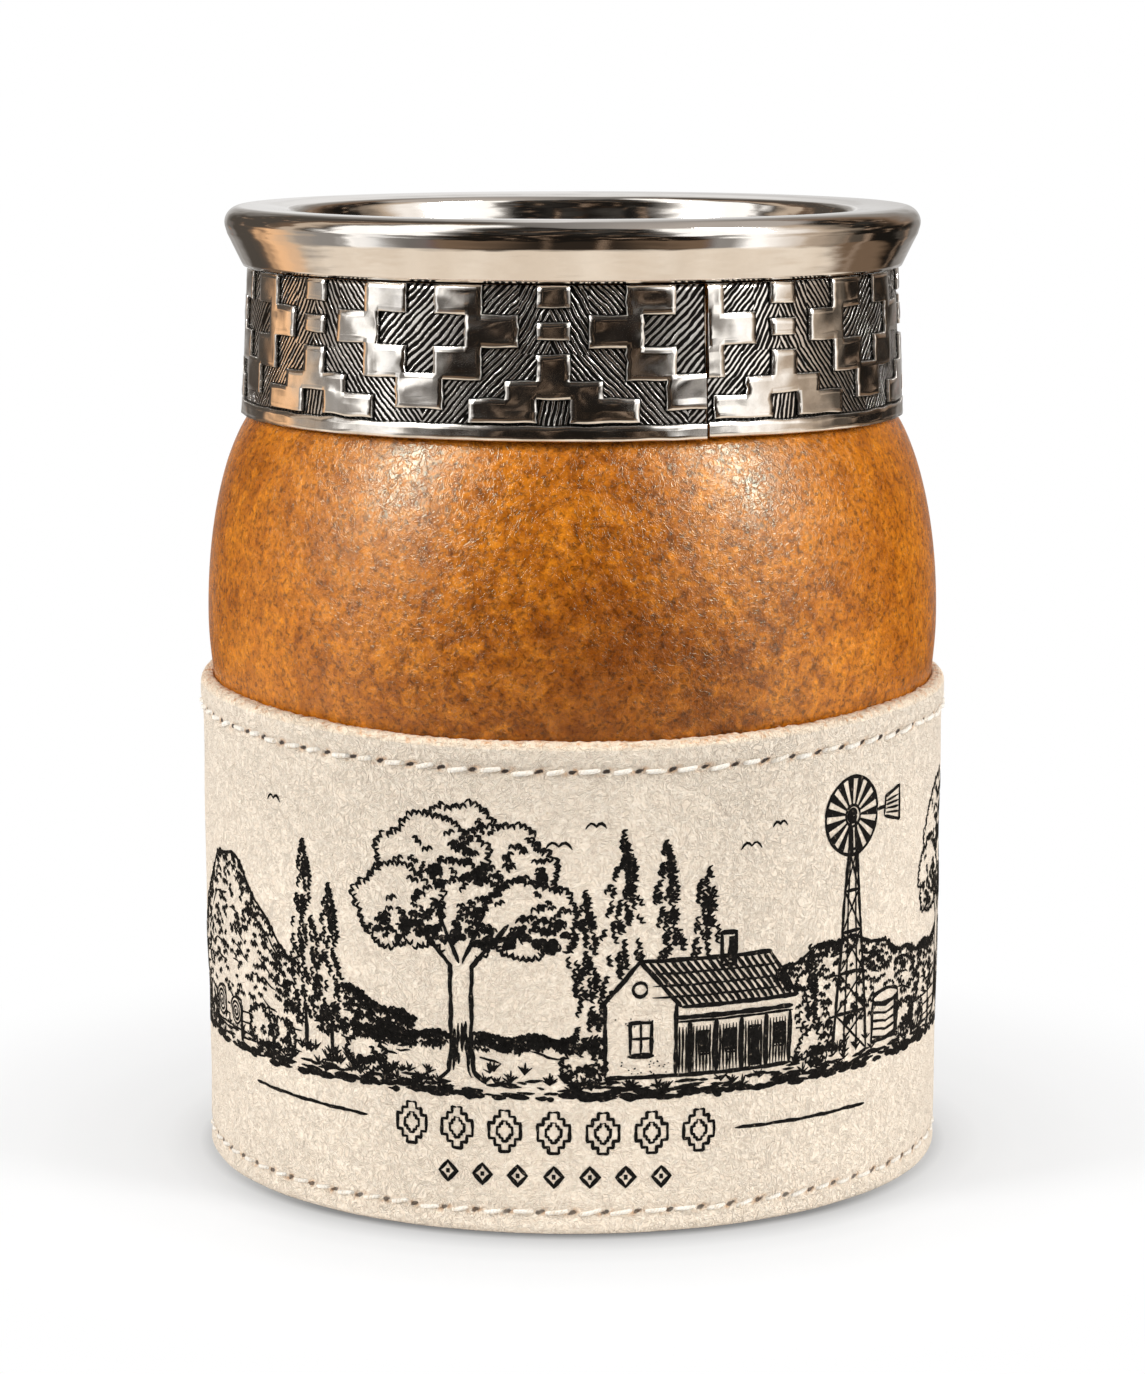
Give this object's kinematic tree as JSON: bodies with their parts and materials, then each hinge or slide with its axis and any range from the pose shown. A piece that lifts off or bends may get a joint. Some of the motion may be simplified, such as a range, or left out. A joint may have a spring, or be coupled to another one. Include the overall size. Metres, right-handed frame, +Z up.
{
  "type": "leather-covered mate gourd",
  "caption": "Wide-mouthed gourd cup for mate, with a flared metal rim, a chiselled metal neck band and a sewn leather sleeve round its lower half.",
  "frame": {"origin": "middle of the underside, on the surface the cup stands on", "axes": "+Z up along the cup's axis, -Y towards the pictured front, +X to the right as the front is seen"},
  "size_m": [0.0892, 0.0891, 0.112],
  "materials": {
    "calabash": "lacquered, mottled orange-brown",
    "polished_nickel_silver": "polished, warm grey",
    "chiselled_nickel_silver": "polished steps on a hatched, darkened ground",
    "bedding_cement": "matt",
    "pale_leather": "matt, undyed, printed in near-black",
    "base_leather": "matt, raw"
  },
  "bodies": {
    "root": {"gourd_shell": "calabash", "chiselled_band": "chiselled_nickel_silver", "neck_bedding": "bedding_cement", "mouth_liner": "polished_nickel_silver", "rim_collar": "polished_nickel_silver", "leather_sleeve": "pale_leather", "base_cup": "base_leather"}
  },
  "joints": []
}
